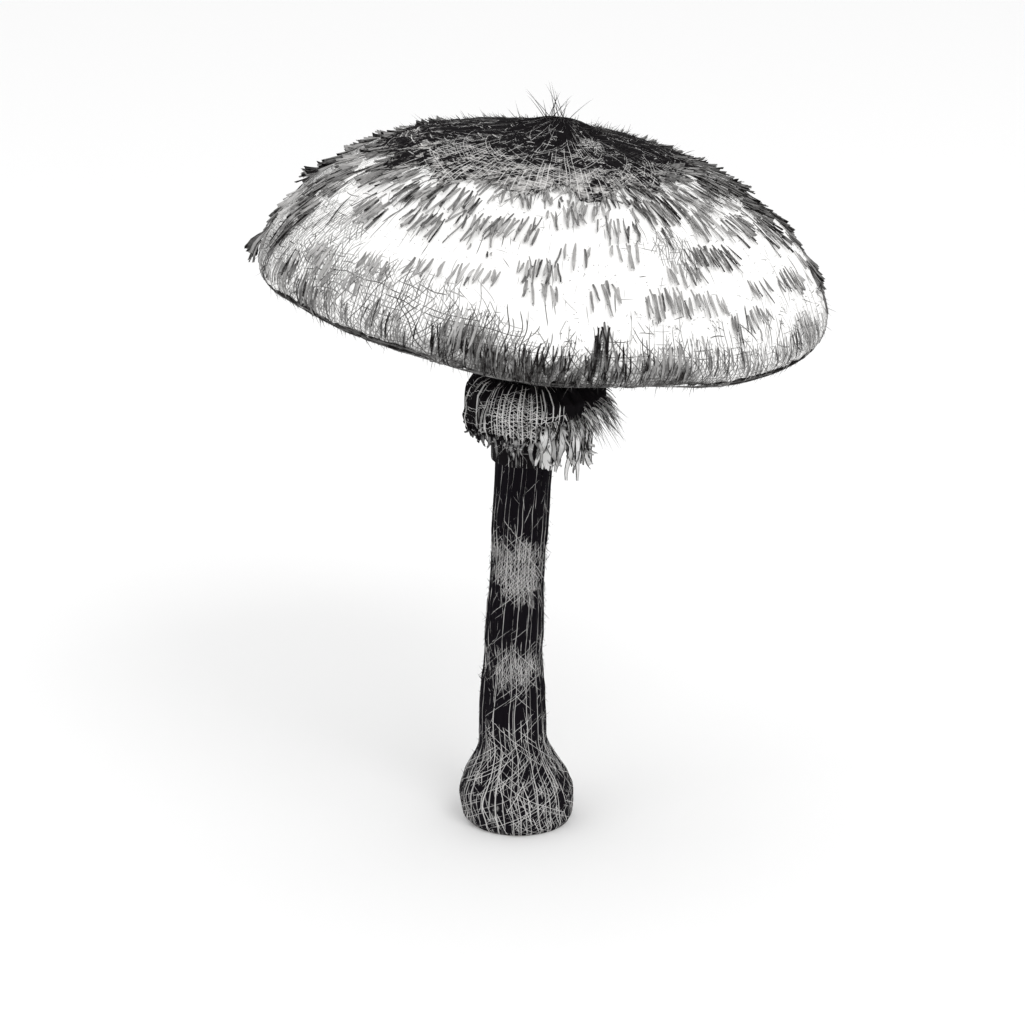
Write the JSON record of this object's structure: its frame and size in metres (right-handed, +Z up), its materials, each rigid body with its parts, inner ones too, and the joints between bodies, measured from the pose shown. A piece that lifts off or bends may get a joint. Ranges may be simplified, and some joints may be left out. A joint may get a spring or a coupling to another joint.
{
  "type": "parasol mushroom",
  "caption": "Parasol mushroom, picked: broad domed cap with a dark disc and torn scales, free gills, a loose fringed ring, and a banded stem that stands on its cut bulb.",
  "frame": {"origin": "centre of the flat cut across the bulb, on the surface that the mushroom stands on", "axes": "+Z up along the stem, +X towards the side that the cap leans to, -Y towards the side that a viewer faces"},
  "size_m": [0.1779, 0.1775, 0.2317],
  "materials": {
    "cap_flesh": "pale, dry, finely fibrous skin over white flesh",
    "dark_skin": "near-black, matt, felted skin of the disc and the scales",
    "gill": "pale cream, soft, thin blades",
    "ring_felt": "felted, pale grey with a dark edge, torn to fringes",
    "stem_skin": "near-black fibrous skin with pale lines and torn pale bands",
    "cut_flesh": "pale cut flesh under the bulb"
  },
  "bodies": {
    "root": {"cap": "cap_flesh", "cap_disc": "dark_skin", "gills": "gill", "ring": "ring_felt", "stem": "stem_skin"}
  },
  "joints": []
}
